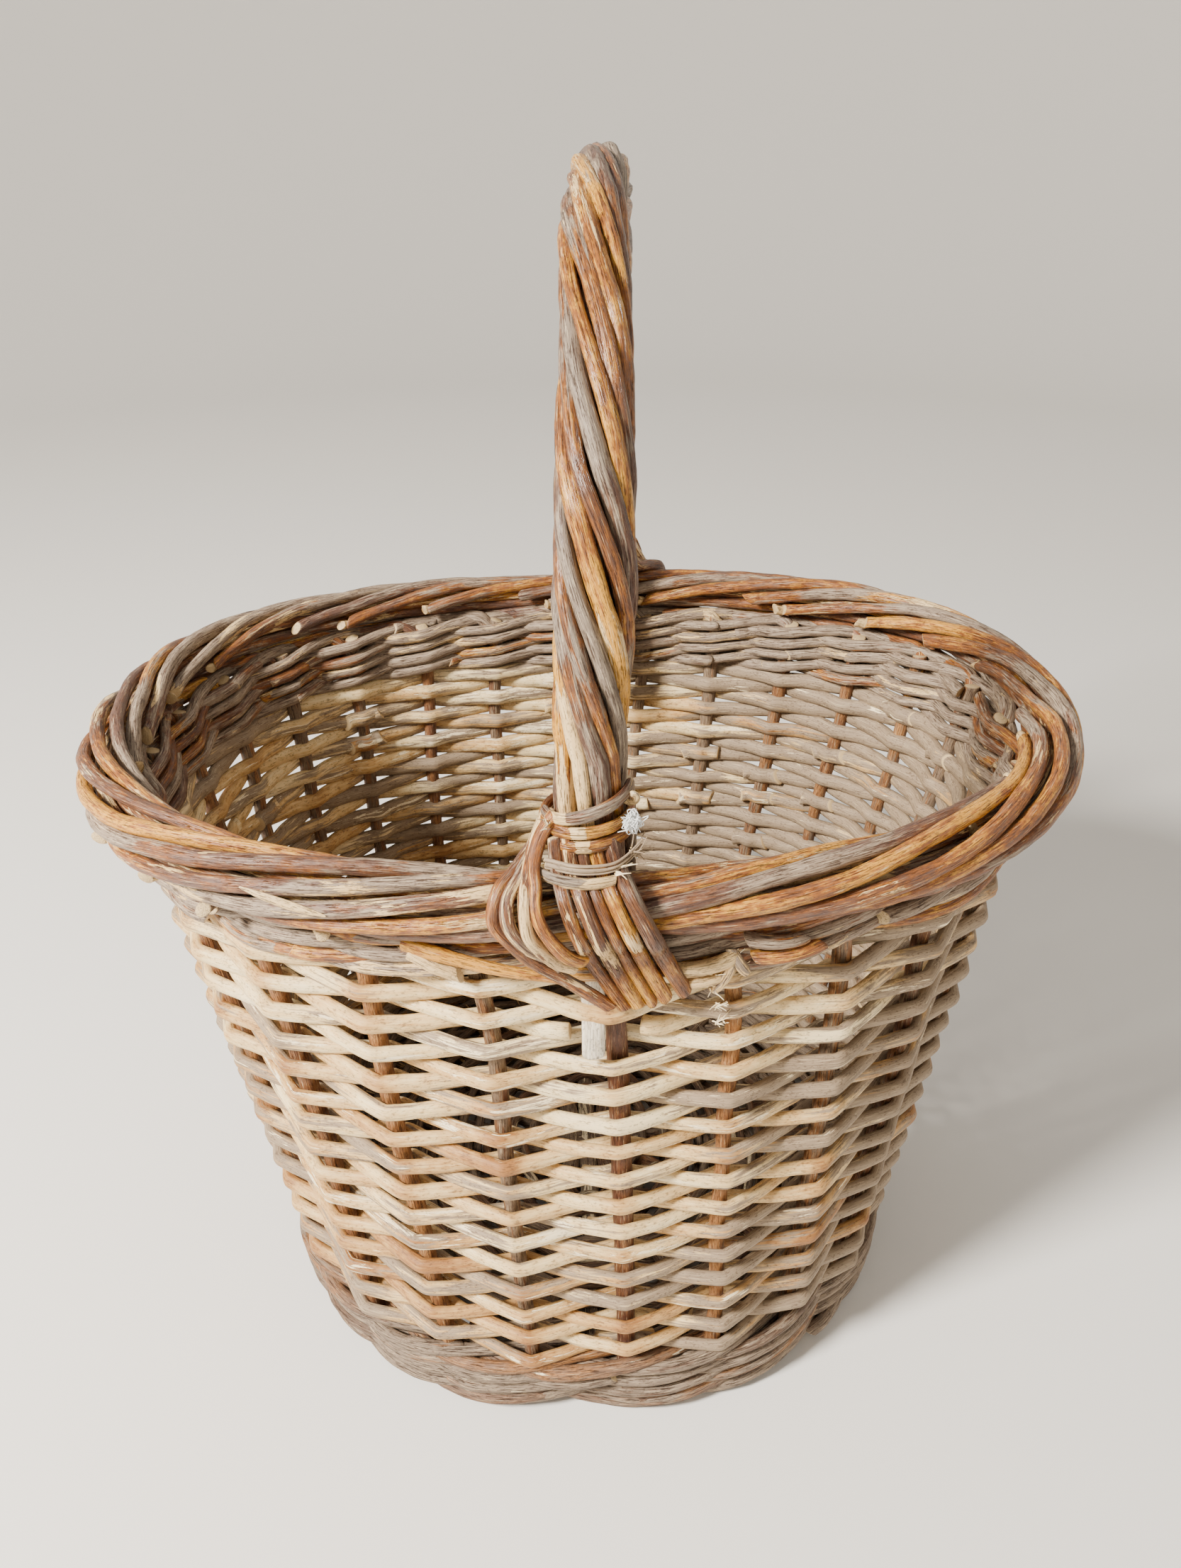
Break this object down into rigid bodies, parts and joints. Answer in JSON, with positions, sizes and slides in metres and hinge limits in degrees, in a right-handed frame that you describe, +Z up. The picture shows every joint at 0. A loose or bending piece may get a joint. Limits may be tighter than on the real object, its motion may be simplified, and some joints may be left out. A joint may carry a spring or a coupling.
{
  "type": "willow basket",
  "caption": "Round-based woven willow basket with an oval rolled rim and a fixed roped bow handle across its short side.",
  "frame": {"origin": "on the floor under the middle of the base", "axes": "+X along the long side of the rim, +Y along the short side and the plane of the handle, +Z up"},
  "size_m": [0.3834, 0.2964, 0.4646],
  "materials": {
    "bare_willow": "matt weathered",
    "bark_willow": "satin weathered",
    "grey_willow": "matt weathered",
    "handle_willow": "satin worn",
    "pale_wood": "matt cut wood"
  },
  "bodies": {
    "root": {"base_sticks_pierced": "grey_willow", "base_sticks_threaded": "grey_willow", "base_tie_rods": "grey_willow", "base_weave_inner": "bare_willow", "base_weave_outer": "bare_willow", "foot_ring": "grey_willow", "foot_wale": "grey_willow", "side_stakes": "bark_willow", "side_weave_lower": "bare_willow", "side_weave_middle": "bare_willow", "side_weave_upper": "bare_willow", "top_wale": "bark_willow", "rim_core_rods": "bark_willow", "handle_bow": "handle_willow", "handle_roping_first": "handle_willow", "handle_roping_second": "handle_willow", "handle_lapping_front": "handle_willow", "handle_lapping_back": "handle_willow", "handle_ties_front": "bark_willow", "handle_ties_back": "bark_willow", "handle_peg_front": "pale_wood", "handle_peg_back": "pale_wood"}
  },
  "joints": []
}
